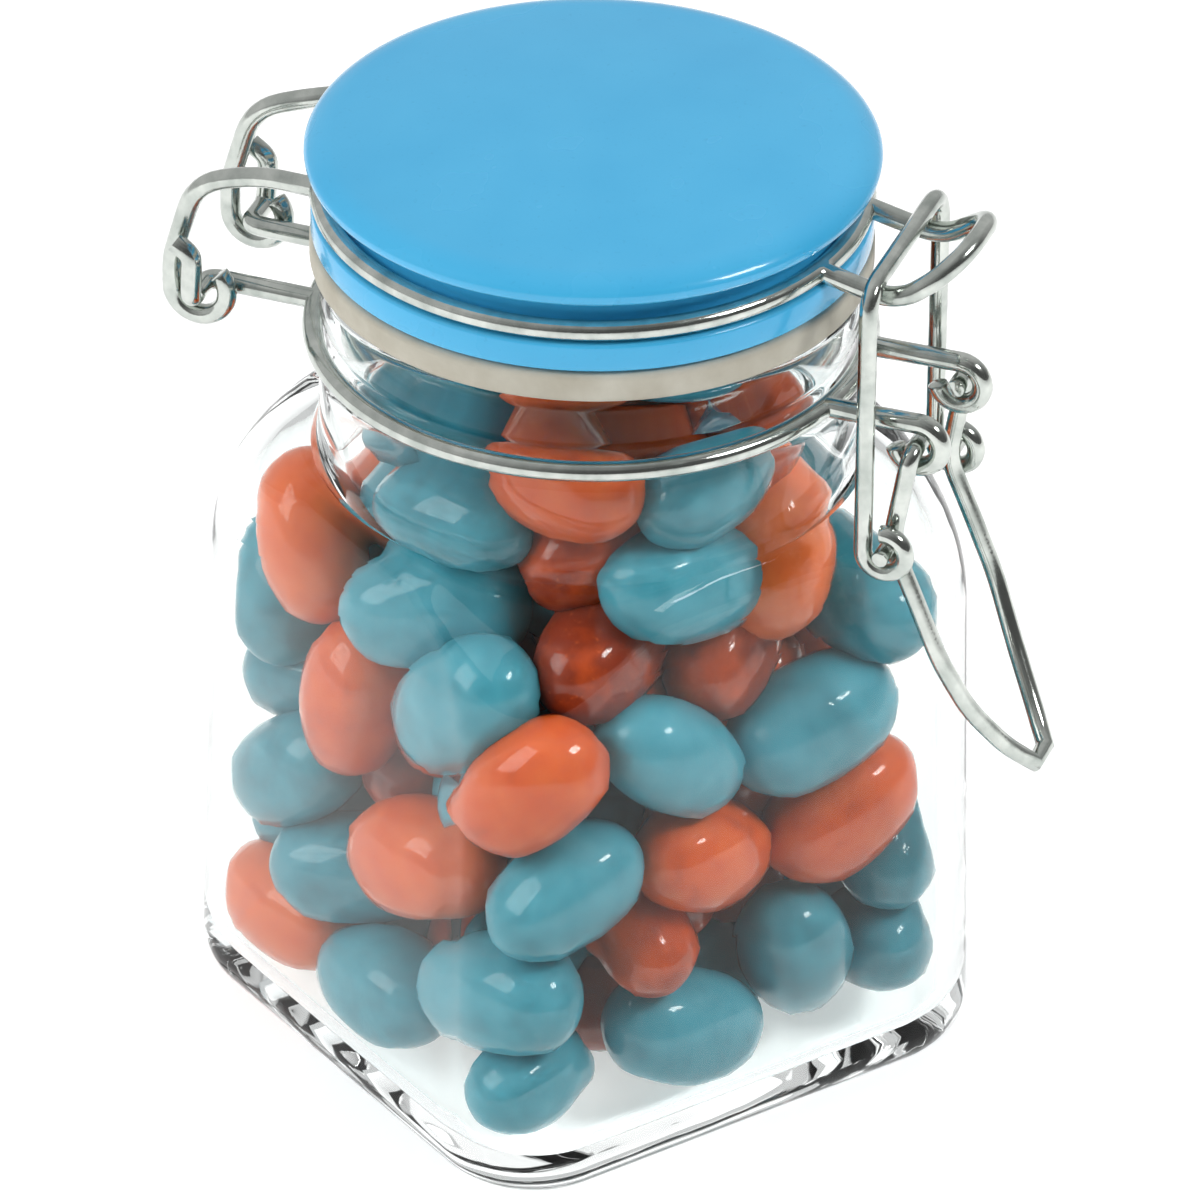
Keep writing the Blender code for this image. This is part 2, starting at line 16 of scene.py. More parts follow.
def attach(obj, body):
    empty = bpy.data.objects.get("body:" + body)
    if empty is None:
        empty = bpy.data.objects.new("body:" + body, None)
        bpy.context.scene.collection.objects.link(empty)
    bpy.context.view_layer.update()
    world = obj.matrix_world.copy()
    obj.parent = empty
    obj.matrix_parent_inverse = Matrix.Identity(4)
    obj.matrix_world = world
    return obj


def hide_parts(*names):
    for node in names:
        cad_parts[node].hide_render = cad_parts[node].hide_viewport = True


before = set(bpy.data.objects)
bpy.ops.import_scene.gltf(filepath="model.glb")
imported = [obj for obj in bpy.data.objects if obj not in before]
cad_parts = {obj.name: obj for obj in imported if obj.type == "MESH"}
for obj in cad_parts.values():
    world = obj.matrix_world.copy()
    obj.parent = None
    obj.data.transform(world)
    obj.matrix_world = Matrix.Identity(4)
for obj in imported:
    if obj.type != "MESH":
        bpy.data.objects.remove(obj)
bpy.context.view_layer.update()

MM = 0.001
MERGE_DISTANCE = 0.001 * MM

# Glass body
BODY_TURN = math.radians(55)
BODY_HALF = 30.0 * MM
BODY_CORNER = 11.0 * MM
HEEL = 6.0 * MM
SIDE_TOP = 50.0 * MM
SHOULDER_TOP = 65.0 * MM
SHOULDER_HALF = 29.5 * MM
SHOULDER_CORNER = 11.8 * MM
NECK_FOOT = 26.8 * MM
NECK_RADIUS = 26.0 * MM
GROOVE_RADIUS = 25.3 * MM
RIM_TOP = 84.9 * MM
RIM_LIP = 1.2 * MM
WALL = 2.5 * MM
FLOOR = 4.0 * MM
BORE_RADIUS = 23.4 * MM
CORNER_POINTS = 24
HEEL_STEPS = 10
INNER_HEEL_STEPS = 8
INNER_HEEL = HEEL - 1.5 * MM
SHOULDER_STEPS = 20

# Closure wires
WIRE = 2.0 * MM
CLASP_WIRE = 1.8 * MM
STUB_WIRE = 1.6 * MM
NECK_WIRE_Z = 77.6 * MM
NECK_RING = 26.6 * MM
LID_WIRE_Z = 92.7 * MM
LID_RING = 25.95 * MM
GAP = 0.3 * MM
RING_POINTS = 128
HINGE = (37.2 * MM, NECK_WIRE_Z)
LEVER_PIVOT = (-35.2 * MM, 75.5 * MM)
BAIL_PIVOT = (-33.5 * MM, 65.5 * MM)
HINGE_HOOK = 2.8 * MM
CLASP_EYE = 2.3 * MM
BAIL_EYE = 2.1 * MM
NECK_ARM_X = 5.3 * MM
HINGE_ARM_X = 7.5 * MM
PIN_END_X = 9.9 * MM
CLASP_EYE_X = 6.0 * MM
LEVER_X = 8.2 * MM
BAIL_X = 10.3 * MM

# Lid and gasket
FLANGE_BOTTOM = 88.6 * MM
FLANGE_TOP = 91.5 * MM
FLANGE_RADIUS = 26.8 * MM
LID_RADIUS = 27.5 * MM
LID_EDGE_Z = 96.8 * MM
LID_TOP = 99.6 * MM
LID_DOME = 1.0 * MM
LID_FLAT = 24.3 * MM
LID_GROOVE = 24.6 * MM
PLUG_RADIUS = 21.8 * MM
PLUG_BOTTOM = 81.4 * MM
PLUG_TAPER = 0.2 * MM
PLUG_HOLLOW = 4.8 * MM
GASKET_RADIUS = 26.9 * MM
LID_EDGE = 0.35 * MM
GASKET_EDGE = 0.7 * MM
CROWN_STEPS = 8
TURN_STEPS = 128

# Jelly beans
BEAN_LENGTH = 17.2 * MM
BEAN_WIDTH = 11.4 * MM
BEAN_DEPTH = 10.6 * MM
BEAN_SEED = 7
BEAN_BEND = 22
BLUNT_SHARE = 0.12
MIDDLE_BALL = 0.48
END_BALL = 0.43
END_INSET = 0.44
CORNER_REACH = 80
PUSH_SHARE = 0.6
HOME_SHARE = 0.02
SPIN_SHARE = 0.15
SHOULDER_PRESS = 0.4
OUTER_ROUNDS = 150
INNER_ROUNDS = 60
SEAT_ROUNDS = 25
SEAT_GAP = 0.15 * MM
HEAP_TOP = 75.4 * MM
TOP_BEAN_Z = 70 * MM
INNER_LAYERS = 6
LAYER_BEANS = 7
LAYER_START = 11
LAYER_STEP = 9.6
CORE_RADIUS = 10 * MM
CORE_HEIGHT = 56 * MM
CORE_MIDDLE = 36 * MM
SHELL_LUMPS = 5.5 * MM
SHELL_RELIEF = 0.5 * MM
CORE_LUMPS = 8 * MM
CORE_RELIEF = 4 * MM
BLUE, ORANGE = "blue", "orange"

# Beans against two neighbouring sides, from the floor up. Each row has the angle from the front corner, the
# height of the middle in millimetres, the tilt in the face of the glass, the turn of the long axis inward,
# the size as a share of a whole bean, the distance behind the glass in millimetres, the colour, and the tone
# from deep to pale. The deep tones of the orange beans set back from the glass are painted shade.
FRONT_CORNER = math.radians(-170)
WALL_BEANS = (
    (-85, 9.6, 0, 0, 1.0, 0, ORANGE, 0.8), (-47, 9.6, 7, 0, 1.0, 0, BLUE, 0.5),
    (-2, 9.6, 0, 80, 0.85, 0, BLUE, 0.6), (35, 10.6, -24, 5, 1.06, 0, BLUE, 0.6),
    (70, 15.0, -64, 20, 1.0, 0, BLUE, 0.4), (93, 9.8, -30, 0, 1.0, 0, BLUE, 0.4),
    (-76, 17.8, 10, 55, 1.0, 0, BLUE, 0.4), (-6, 19.5, 19, 5, 1.06, 0, BLUE, 0.6),
    (93, 19.5, -20, 15, 1.0, 0, BLUE, 0.4), (-98, 18.5, 80, 50, 1.0, 0, BLUE, 0.3),
    (26, 23.0, 60, 70, 0.9, 0, ORANGE, 0.3), (6, 31.0, 30, 0, 1.0, 0, BLUE, 0.6),
    (-33, 27.5, 19, 5, 1.06, 0, ORANGE, 0.7), (-82, 27.0, 65, 15, 1.0, 0, BLUE, 0.4),
    (43, 31.0, -32, 15, 1.0, 0, ORANGE, 0.6), (78, 28.5, 30, 0, 1.05, 0, ORANGE, 0.6),
    (-96, 31.0, 80, 60, 1.0, 0, BLUE, 0.3), (-62, 39.5, 80, 0, 1.0, 0, ORANGE, 0.6),
    (-1, 44.3, 45, 0, 1.0, 0, ORANGE, 0.6), (32, 43.5, -46, 0, 1.0, 0, BLUE, 0.7),
    (72, 40.5, 11, 0, 1.08, 0, BLUE, 0.6), (-95, 42.0, 85, 0, 1.0, 0, BLUE, 0.4),
    (-20, 50.0, 42, 8, 1.06, 0, BLUE, 0.6), (55, 47.5, 20, 25, 1.0, 5, ORANGE, 0.2),
    (87, 50.0, 0, 70, 1.05, 0, BLUE, 0.5), (-33, 57.5, -10, 35, 1.05, 0, BLUE, 0.6),
    (-86, 52.5, 75, 0, 1.0, 0, ORANGE, 0.8), (43, 62.0, -30, 0, 1.1, 0, BLUE, 0.7),
    (12, 54.5, 10, 20, 1.0, 6, ORANGE, 0.0), (-66, 63.0, 40, 20, 1.0, 0, BLUE, 0.3),
    (74, 61.5, 75, 10, 1.1, 0, ORANGE, 1.0), (-32, 67.0, 22, 0, 1.0, 0, BLUE, 0.4),
    (10, 64.0, 80, 20, 1.0, 2, ORANGE, 0.1), (42, 70.0, 10, 30, 0.9, 0, BLUE, 0.5),
)

# Brightness of the room, away from the camera and round it
BRIGHT_ROOM = 0.6
DARK_ROOM = 0.1

# The photograph's view: its pixels are square, 1200 across and 1200 down
CAMERA_AZIMUTH = -70
CAMERA_ELEVATION = 32.5
CAMERA_ROLL = math.radians(-0.7)
CAMERA_DISTANCE = 1400 * MM
SENSOR = 36
PICTURE_WIDTH = 1200
PIXELS_PER_MM = 10.35
AIM = Vector((0, 0, 45 * MM))
AIM_PIXEL = (588, 612)
GLOSSY_BOUNCES = 12


# Shader building

class Value:
    """A value on its way through a shader. Arithmetic on it adds Math nodes."""

    def __init__(self, nodes, socket):
        self.nodes = nodes
        self.socket = socket

    def maths(self, operation, first, second):
        return self.nodes.add("ShaderNodeMath", {"operation": operation}, {0: first, 1: second})

    def __add__(self, other):
        return self.maths("ADD", self, other)

    def __sub__(self, other):
        return self.maths("SUBTRACT", self, other)

    def __mul__(self, other):
        return self.maths("MULTIPLY", self, other)

    def __rmul__(self, other):
        return self.maths("MULTIPLY", other, self)


class Nodes:
    """Adds nodes to the tree of a material or of the world."""

    def __init__(self, owner):
        owner.use_nodes = True
        self.tree = owner.node_tree
        self.tree.nodes.clear()

    def put(self, socket, value):
        if isinstance(value, Value):
            self.tree.links.new(value.socket, socket)
        elif isinstance(value, tuple) and len(value) == 3 and socket.type == "RGBA":
            socket.default_value = (*value, 1.0)
        else:
            socket.default_value = value

    def add(self, kind, settings=None, values=None, output=0):
        """Adds a node: its settings first, then the values or links of its sockets."""
        node = self.tree.nodes.new(kind)
        for key, value in (settings or {}).items():
            if key == "stops":
                ramp = node.color_ramp
                while len(ramp.elements) < len(value):
                    ramp.elements.new(0.5)
                for element, (place, colour) in zip(ramp.elements, value):
                    element.position = place
                    element.color = (*colour, 1.0)
            else:
                setattr(node, key, value)
        for key, value in (values or {}).items():
            self.put(node.inputs[key], value)
        return Value(self, node.outputs[output]) if node.outputs else None

    def blend(self, share, first, second):
        """A colour between two others."""
        return self.add("ShaderNodeMix", {"data_type": "RGBA"}, {0: share, 6: first, 7: second}, output=2)

    def span(self, value, low, high, out_low=0.0, out_high=1.0):
        """A value stretched from one range to another, and kept inside it."""
        values = {"Value": value, "From Min": low, "From Max": high, "To Min": out_low, "To Max": out_high}
        return self.add("ShaderNodeMapRange", {"clamp": True}, values)


class Finish(Nodes):
    """A material with one shader, made node by node."""

    def __init__(self, name, colour, roughness, constants=None):
        self.material = bpy.data.materials.new(name)
        self.material.diffuse_color = (*colour, 1.0)
        super().__init__(self.material)
        values = {"Base Color": colour, "Roughness": roughness, **(constants or {})}
        surface = self.add("ShaderNodeBsdfPrincipled", {}, values)
        self.shader = surface.socket.node
        self.add("ShaderNodeOutputMaterial", {}, {"Surface": surface})
        self.where = self.add("ShaderNodeTexCoord", output="Object")

    def noise(self, size, detail):
        """Soft noise whose blobs are about the given size in metres."""
        values = {"Vector": self.where, "Scale": 1 / size, "Detail": detail}
        return self.add("ShaderNodeTexNoise", {"noise_dimensions": "3D"}, values)

    def feed(self, name, value):
        self.put(self.shader.inputs[name], value)

    def relief(self, height, depth, strength=1.0):
        """Fine relief of the given depth in metres."""
        values = {"Height": height, "Distance": depth, "Strength": strength}
        self.feed("Normal", self.add("ShaderNodeBump", {}, values))


def clear_glass():
    finish = Finish("jar_glass", (0.965, 0.992, 0.985), 0.0, {"Transmission Weight": 1.0, "IOR": 1.25})
    finish.relief(finish.noise(9 * MM, 1.0), 0.05 * MM)
    return finish.material


def bean_shell(name, pale, full, deep):
    """A sugar shell: mottled colour that differs from bean to bean, partly as painted shade, under a thin
    polish.
    """
    constants = {"Coat Weight": 0.9, "Coat Roughness": 0.05, "Specular IOR Level": 0.1}
    finish = Finish(name, full, 0.5, constants)
    # Each bean's tone: partly its own colour, partly painted shade on the beans deeper in the heap.
    own = finish.add("ShaderNodeAttribute", {"attribute_name": "bean_tone"}, {}, output="Fac")
    mottle = finish.noise(3.2 * MM, 4.0)
    tone = finish.span(own * 0.85 + (mottle - 0.5) * 0.8, 0.0, 1.0)
    stops = ((0.0, deep), (0.45, full), (1.0, pale))
    colour = finish.add("ShaderNodeValToRGB", {"stops": stops}, {"Fac": tone})
    speck = finish.span(finish.noise(0.55 * MM, 2.0), 0.62, 0.78)
    finish.feed("Base Color", finish.blend(speck * 0.25, colour, pale))
    finish.feed("Roughness", finish.span(mottle, 0.2, 0.8, 0.4, 0.55))
    finish.relief(finish.noise(1.1 * MM, 2.0) + finish.noise(4 * MM, 1.0), 0.05 * MM, 0.6)
    return finish.material


def blue_glaze():
    constants = {"Coat Weight": 0.6, "Coat Roughness": 0.08, "Specular IOR Level": 0.2}
    finish = Finish("blue_glaze", (0.055, 0.45, 0.78), 0.25, constants)
    cloud = finish.span(finish.noise(14 * MM, 3.0), 0.3, 0.7)
    speck = finish.span(finish.noise(0.5 * MM, 1.0), 0.66, 0.8)
    colour = finish.blend(cloud, (0.05, 0.43, 0.76), (0.065, 0.47, 0.8))
    finish.feed("Base Color", finish.blend(speck * 0.35, colour, (0.04, 0.34, 0.64)))
    finish.feed("Roughness", finish.span(cloud, 0.0, 1.0, 0.2, 0.3))
    finish.relief(finish.noise(5 * MM, 1.0) + 0.3 * finish.noise(1.2 * MM, 1.0), 0.03 * MM)
    return finish.material


def cream_rubber():
    finish = Finish("ring_rubber", (0.5, 0.48, 0.4), 0.6)
    cloud = finish.span(finish.noise(6 * MM, 4.0), 0.3, 0.7)
    finish.feed("Base Color", finish.blend(cloud, (0.43, 0.4, 0.32), (0.58, 0.56, 0.48)))
    finish.feed("Roughness", finish.span(cloud, 0.0, 1.0, 0.5, 0.7))
    finish.relief(finish.noise(0.6 * MM, 3.0), 0.05 * MM)
    return finish.material


def bright_steel():
    finish = Finish("bright_steel", (0.58, 0.61, 0.57), 0.14, {"Metallic": 1.0})
    wear = finish.span(finish.noise(2.5 * MM, 4.0), 0.3, 0.75)
    finish.feed("Base Color", finish.blend(wear, (0.66, 0.69, 0.65), (0.4, 0.44, 0.41)))
    finish.feed("Roughness", finish.span(wear, 0.0, 1.0, 0.08, 0.24))
    finish.relief(finish.noise(0.35 * MM, 2.0), 0.006 * MM)
    return finish.material


def painted_shade_beans():
    """What shows in the gaps between the beans: more of them, in dark colours that are painted shade."""
    finish = Finish("painted_shade_beans", (0.12, 0.12, 0.11), 0.5)
    patch = finish.span(finish.noise(11 * MM, 0.0), 0.45, 0.55)
    finish.feed("Base Color", finish.blend(patch, (0.05, 0.2, 0.25), (0.35, 0.1, 0.04)))
    finish.relief(finish.noise(4 * MM, 1.0), 0.5 * MM)
    return finish.material


def pale_floor():
    glow = {"Emission Color": (1.0, 1.0, 1.0), "Emission Strength": 0.45, "Specular IOR Level": 0.0}
    finish = Finish("pale_floor", (0.9, 0.9, 0.9), 0.7, glow)
    grain = finish.noise(30 * MM, 2.0)
    finish.feed("Base Color", finish.blend(grain, (0.9, 0.9, 0.9), (0.92, 0.92, 0.92)))
    return finish.material


# Modelling by hand

def begin():
    """Leaves edit mode and deselects everything."""
    if bpy.context.object and bpy.context.object.mode == "EDIT":
        bpy.ops.object.mode_set(mode="OBJECT")
    bpy.ops.object.select_all(action="DESELECT")


def select_only(obj):
    begin()
    obj.select_set(True)
    bpy.context.view_layer.objects.active = obj


def named(name):
    obj = bpy.context.object
    obj.name = name
    obj.data.name = name
    return obj


def apply_modifiers(obj):
    select_only(obj)
    for modifier in list(obj.modifiers):
        bpy.ops.object.modifier_apply(modifier=modifier.name)


def smooth(obj, angle):
    select_only(obj)
    bpy.ops.object.shade_smooth_by_angle(angle=math.radians(angle))


def dress(obj, material, body, slot, *nodes):
    """Gives a finished piece its material and its place in the frame."""
    obj.data.materials.clear()
    obj.data.materials.append(material)
    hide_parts(*nodes)
    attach(obj, body)
    return obj


def turned(name, profile, edge_radius):
    """One point, extruded along a profile of (radius, height) and spun about the jar's axis."""
    begin()
    bpy.ops.mesh.primitive_plane_add(size=MM)
    obj = named(name)
    bpy.ops.object.mode_set(mode="EDIT")
    bpy.ops.mesh.merge(type="CENTER")
    bpy.ops.transform.translate(value=(profile[0][0], 0, profile[0][1]))
    for (r, z), (next_r, next_z) in zip(profile, profile[1:]):
        bpy.ops.mesh.extrude_region_move(TRANSFORM_OT_translate={"value": (next_r - r, 0, next_z - z)})
    bpy.ops.mesh.select_all(action="SELECT")
    bpy.ops.mesh.spin(steps=TURN_STEPS, angle=2 * math.pi, center=(0, 0, 0), axis=(0, 0, 1))
    bpy.ops.mesh.select_all(action="SELECT")
    bpy.ops.mesh.remove_doubles(threshold=MERGE_DISTANCE)
    bpy.ops.mesh.normals_make_consistent(inside=False)
    begin()
    bevel = obj.modifiers.new("Rounded edges", "BEVEL")
    bevel.width = edge_radius
    bevel.segments = 3
    bevel.limit_method = "ANGLE"
    bevel.angle_limit = math.radians(28)
    apply_modifiers(obj)
    smooth(obj, 50)
    return obj


def lid_crown(steps):
    """The lid's gently domed top and rounded edge, as (radius, height) points from the middle outwards."""
    dome = [(LID_FLAT * k / steps, LID_TOP - LID_DOME * (k / steps) ** 2) for k in range(steps)]
    width, height = LID_RADIUS - LID_FLAT, LID_TOP - LID_DOME - LID_EDGE_Z
    angles = [math.pi / 2 * k / steps for k in range(steps + 1)]
    return dome + [(LID_FLAT + width * math.sin(a), LID_EDGE_Z + height * math.cos(a)) for a in angles]


def lid():
    profile = lid_crown(CROWN_STEPS)
    profile += [(LID_RADIUS - 0.3 * MM, LID_EDGE_Z - 0.7 * MM)]
    profile += [(LID_GROOVE + 0.8 * MM, LID_EDGE_Z - 1.3 * MM)]
    profile += [(LID_GROOVE, LID_EDGE_Z - 2.1 * MM), (LID_GROOVE, FLANGE_TOP)]
    profile += [(FLANGE_RADIUS, FLANGE_TOP), (FLANGE_RADIUS, FLANGE_BOTTOM)]
    profile += [(PLUG_RADIUS, FLANGE_BOTTOM), (PLUG_RADIUS - PLUG_TAPER, PLUG_BOTTOM + 1 * MM)]
    profile += [(PLUG_RADIUS - 1.2 * MM, PLUG_BOTTOM), (PLUG_RADIUS - 3.4 * MM, PLUG_BOTTOM)]
    profile += [(PLUG_RADIUS - PLUG_HOLLOW, PLUG_BOTTOM + 1.2 * MM), (0, PLUG_BOTTOM + 1.4 * MM)]
    return turned("ceramic_lid", profile, LID_EDGE)


def gasket():
    low, high = RIM_TOP + GAP, FLANGE_BOTTOM - GAP
    inner = PLUG_RADIUS + GAP
    profile = [(inner, high), (GASKET_RADIUS, high), (GASKET_RADIUS, low), (inner, low), (inner, high)]
    return turned("rubber_ring", profile, GASKET_EDGE)


# The glass

def section(half, corner, z):
    """Points round a square of the given half width whose corners have the given radius."""
    points = []
    for quarter in range(4):
        start = BODY_TURN + quarter * math.pi / 2
        middle = Matrix.Rotation(start, 2) @ Vector((half - corner, half - corner))
        for k in range(CORNER_POINTS):
            a = start + (k + 0.5) / CORNER_POINTS * math.pi / 2
            points.append(Vector((middle.x + corner * math.cos(a), middle.y + corner * math.sin(a), z)))
    return points


def heel_sections(inset, base, radius, steps):
    sections = []
    for k in range(steps + 1):
        a = k / steps * math.pi / 2
        step_in = inset + radius * (1 - math.sin(a))
        sections.append((BODY_HALF - step_in, BODY_CORNER - step_in, base + radius * (1 - math.cos(a))))
    return sections


def shoulder_section(lift, inset):
    """Half width and corner radius of the shoulder at a share of its height."""
    fade = math.sqrt(max(1 - lift ** 2, 0))
    half = NECK_FOOT + (SHOULDER_HALF - NECK_FOOT) * fade
    corner = NECK_FOOT + (SHOULDER_CORNER - NECK_FOOT) * fade ** 1.15
    return half - inset, corner - inset


def shoulder_height(inset):
    return SHOULDER_TOP - 0.8 * inset - SIDE_TOP


def shoulder_sections(inset, steps):
    sections = []
    for k in range(steps + 1):
        lift = math.sin(k / steps * math.pi / 2)
        sections.append((*shoulder_section(lift, inset), SIDE_TOP + lift * shoulder_height(inset)))
    return sections


def round_sections(profile):
    return [(r, r, z) for r, z in profile]


def around(point):
    return math.atan2(point[1], point[0])


def glass():
    """A ring on the base, extruded from section to section up the outside and down the inside."""
    outside = heel_sections(0, 0, HEEL, HEEL_STEPS) + shoulder_sections(0, SHOULDER_STEPS)
    outside += round_sections((
        (NECK_RADIUS + 0.3 * MM, SHOULDER_TOP + 0.7 * MM), (NECK_RADIUS + 0.1 * MM, SHOULDER_TOP + 1.8 * MM),
        (NECK_RADIUS, SHOULDER_TOP + 4 * MM), (NECK_RADIUS, NECK_WIRE_Z - 3 * MM),
        (GROOVE_RADIUS + 0.35 * MM, NECK_WIRE_Z - 2.2 * MM), (GROOVE_RADIUS, NECK_WIRE_Z - 1.5 * MM),
        (GROOVE_RADIUS, NECK_WIRE_Z + 1.2 * MM), (GROOVE_RADIUS + 0.35 * MM, NECK_WIRE_Z + 1.9 * MM),
        (NECK_RADIUS, NECK_WIRE_Z + 2.7 * MM), (NECK_RADIUS, RIM_TOP - RIM_LIP),
        (NECK_RADIUS - 0.1 * RIM_LIP, RIM_TOP - 0.6 * RIM_LIP),
        (NECK_RADIUS - 0.35 * RIM_LIP, RIM_TOP - 0.3 * RIM_LIP), (NECK_RADIUS - RIM_LIP, RIM_TOP)))
    inside = round_sections(((BORE_RADIUS + 0.6 * MM, RIM_TOP), (BORE_RADIUS + 0.15 * MM, RIM_TOP - 0.3 * MM),
                             (BORE_RADIUS, RIM_TOP - 0.7 * MM), (BORE_RADIUS, SHOULDER_TOP + 3 * MM)))
    inside += list(reversed(shoulder_sections(WALL, SHOULDER_STEPS)))
    inside += list(reversed(heel_sections(WALL, FLOOR, INNER_HEEL, INNER_HEEL_STEPS)))
    begin()
    bpy.ops.mesh.primitive_circle_add(vertices=4 * CORNER_POINTS, radius=BODY_HALF, fill_type="NGON")
    obj = named("glass_body")
    bpy.ops.object.mode_set(mode="EDIT")
    bpy.ops.mesh.select_all(action="SELECT")
    for count, ring in enumerate(outside + inside):
        if count:
            bpy.ops.mesh.extrude_region_move()
        mesh = bmesh.from_edit_mesh(obj.data)
        chosen = sorted((v for v in mesh.verts if v.select), key=lambda v: around(v.co))
        for v, place in zip(chosen, sorted(section(*ring), key=around)):
            v.co = place
        bmesh.update_edit_mesh(obj.data)
        if count == 0:
            bpy.ops.mesh.select_mode(type="EDGE")
            bpy.ops.mesh.select_all(action="SELECT")
    bpy.ops.mesh.edge_face_add()
    bpy.ops.mesh.select_all(action="SELECT")
    bpy.ops.mesh.normals_make_consistent(inside=False)
    bpy.ops.mesh.select_mode(type="VERT")
    begin()
    smooth(obj, 40)
    return obj


# Bent wires

def bent(corners, radius, steps=6):
    """A path through the given corners, each rounded to about the given bend radius."""
    points = [Vector(corners[0])]
    for before, here, after in zip(corners, corners[1:], corners[2:]):
        here = Vector(here)
        back, ahead = Vector(before) - here, Vector(after) - here
        reach = min(radius, 0.45 * back.length, 0.45 * ahead.length)
        start, end = here + back.normalized() * reach, here + ahead.normalized() * reach
        for k in range(steps + 1):
            t = k / steps
            points.append(start.lerp(here, t).lerp(here.lerp(end, t), t))
    points.append(Vector(corners[-1]))
    return points


def eye(x, centre, radius, first, last, steps):
    """Points round part of a circle about an axis along X, from one angle to another in degrees."""
    angles = [math.radians(first + (last - first) * k / steps) for k in range(steps + 1)]
    return [Vector((x, centre[0] + radius * math.cos(a), centre[1] + radius * math.sin(a))) for a in angles]


def mirrored(points):
    return [Vector((-x, y, z)) for x, y, z in points]


def wire(name, points, diameter, closed=False):
    """A round wire along the points, made a mesh with closed and slightly rounded ends."""
    begin()
    curve = bpy.data.curves.new(name, "CURVE")
    curve.dimensions = "3D"
    curve.bevel_depth = diameter / 2
    curve.bevel_resolution = 5
    curve.use_fill_caps = not closed
    spline = curve.splines.new("POLY")
    spline.points.add(len(points) - 1)
    for place, p in zip(spline.points, points):
        place.co = (*p, 1)
    spline.use_cyclic_u = closed
    obj = bpy.data.objects.new(name, curve)
    bpy.context.scene.collection.objects.link(obj)
    select_only(obj)
    bpy.ops.object.convert(target="MESH")
    bpy.ops.object.mode_set(mode="EDIT")
    bpy.ops.mesh.select_all(action="SELECT")
    bpy.ops.mesh.remove_doubles(threshold=MERGE_DISTANCE)
    bpy.ops.mesh.normals_make_consistent(inside=False)
    begin()
    bevel = obj.modifiers.new("Rounded ends", "BEVEL")
    bevel.width = 0.15 * diameter
    bevel.segments = 2
    bevel.limit_method = "ANGLE"
    bevel.angle_limit = math.radians(60)
    apply_modifiers(obj)
    return obj


def fused(name, pieces):
    """Several wires fused to one mesh with one union."""
    first, others = pieces[0], pieces[1:]
    group = bpy.data.collections.new(name)
    for other in others:
        group.objects.link(other)
    union = first.modifiers.new("Join", "BOOLEAN")
    union.operation = "UNION"
    union.operand_type = "COLLECTION"
    union.collection = group
    union.solver = "EXACT"
    apply_modifiers(first)
    for other in others:
        bpy.data.objects.remove(other)
    bpy.data.collections.remove(group)
    first.name = name
    first.data.name = name
    smooth(first, 50)
    return first


def ring_points(radius, z):
    angles = [2 * math.pi * k / RING_POINTS for k in range(RING_POINTS)]
    return [Vector((radius * math.cos(a), radius * math.sin(a), z)) for a in angles]


def on_ring(radius, x, side):
    return side * math.sqrt(radius ** 2 - x ** 2)


def both_sides(name, path, diameter):
    return [wire(name, path, diameter), wire(name, mirrored(path), diameter)]


def lid_wire():
    ring = wire("ring", ring_points(LID_RING, LID_WIRE_Z), WIRE, closed=True)
    x, root = HINGE_ARM_X, HINGE_ARM_X + 2 * MM
    outer = HINGE[0] + HINGE_HOOK
    arm = bent([(root, on_ring(LID_RING, root, 1), LID_WIRE_Z),
                (x + 0.4 * MM, 31 * MM, LID_WIRE_Z - 0.9 * MM), (x, 37.6 * MM, LID_WIRE_Z - 3.4 * MM),
                (x, outer, HINGE[1] + 3 * MM), (x, outer, HINGE[1] + 0.5 * MM)], 3.5 * MM)
    arm += eye(x, HINGE, HINGE_HOOK, 0, -225, 24)[1:]
    tab_x = 6.4 * MM
    corners = [(tab_x, on_ring(LID_RING, tab_x, -1), LID_WIRE_Z), (tab_x, -28.5 * MM, 91.9 * MM),
               (tab_x, -31.8 * MM, 91.3 * MM), (tab_x - 0.2 * MM, -34.0 * MM, 91.8 * MM),
               (tab_x - 1 * MM, -36.6 * MM, 93.8 * MM), (tab_x - 2.6 * MM, -38.2 * MM, 95.4 * MM),
               (tab_x - 4.8 * MM, -38.9 * MM, 96.2 * MM)]
    corners += [(-x, y, z) for x, y, z in reversed(corners)]
    tab = bent(corners, 3 * MM, 4)
    return fused("lid_wire_loop", [ring, *both_sides("arm", arm, WIRE), wire("tab", tab, WIRE)])


def neck_wire():
    ring = wire("ring", ring_points(NECK_RING, NECK_WIRE_Z), WIRE, closed=True)
    y, z = HINGE
    hinge_arm = bent([(NECK_ARM_X, on_ring(NECK_RING, NECK_ARM_X, 1), z), (NECK_ARM_X, y, z),
                      (PIN_END_X, y, z), (PIN_END_X, y - 0.2 * MM, z + 5 * MM),
                      (PIN_END_X, y + 1.6 * MM, z + 6.2 * MM)], 1.3 * MM)
    clasp_arm = [Vector((CLASP_EYE_X, on_ring(NECK_RING, CLASP_EYE_X, -1), NECK_WIRE_Z))]
    clasp_arm += eye(CLASP_EYE_X, LEVER_PIVOT, CLASP_EYE, 85, 345, 26)
    pieces = [ring, *both_sides("arm", hinge_arm, WIRE), *both_sides("arm", clasp_arm, WIRE)]
    return fused("neck_wire_loop", pieces)


def bail():
    top_y, top_z = -31.4 * MM, 93.8 * MM
    half = eye(BAIL_X, BAIL_PIVOT, BAIL_EYE, -280, 0, 28)
    half += bent([(BAIL_X, BAIL_PIVOT[0] + BAIL_EYE, BAIL_PIVOT[1] + 0.5 * MM), (BAIL_X, top_y, top_z),
                  (0, top_y, top_z)], 3.2 * MM, 8)[:-1]
    obj = wire("clasp_bail", half + list(reversed(mirrored(half))), CLASP_WIRE)
    smooth(obj, 50)
    return obj


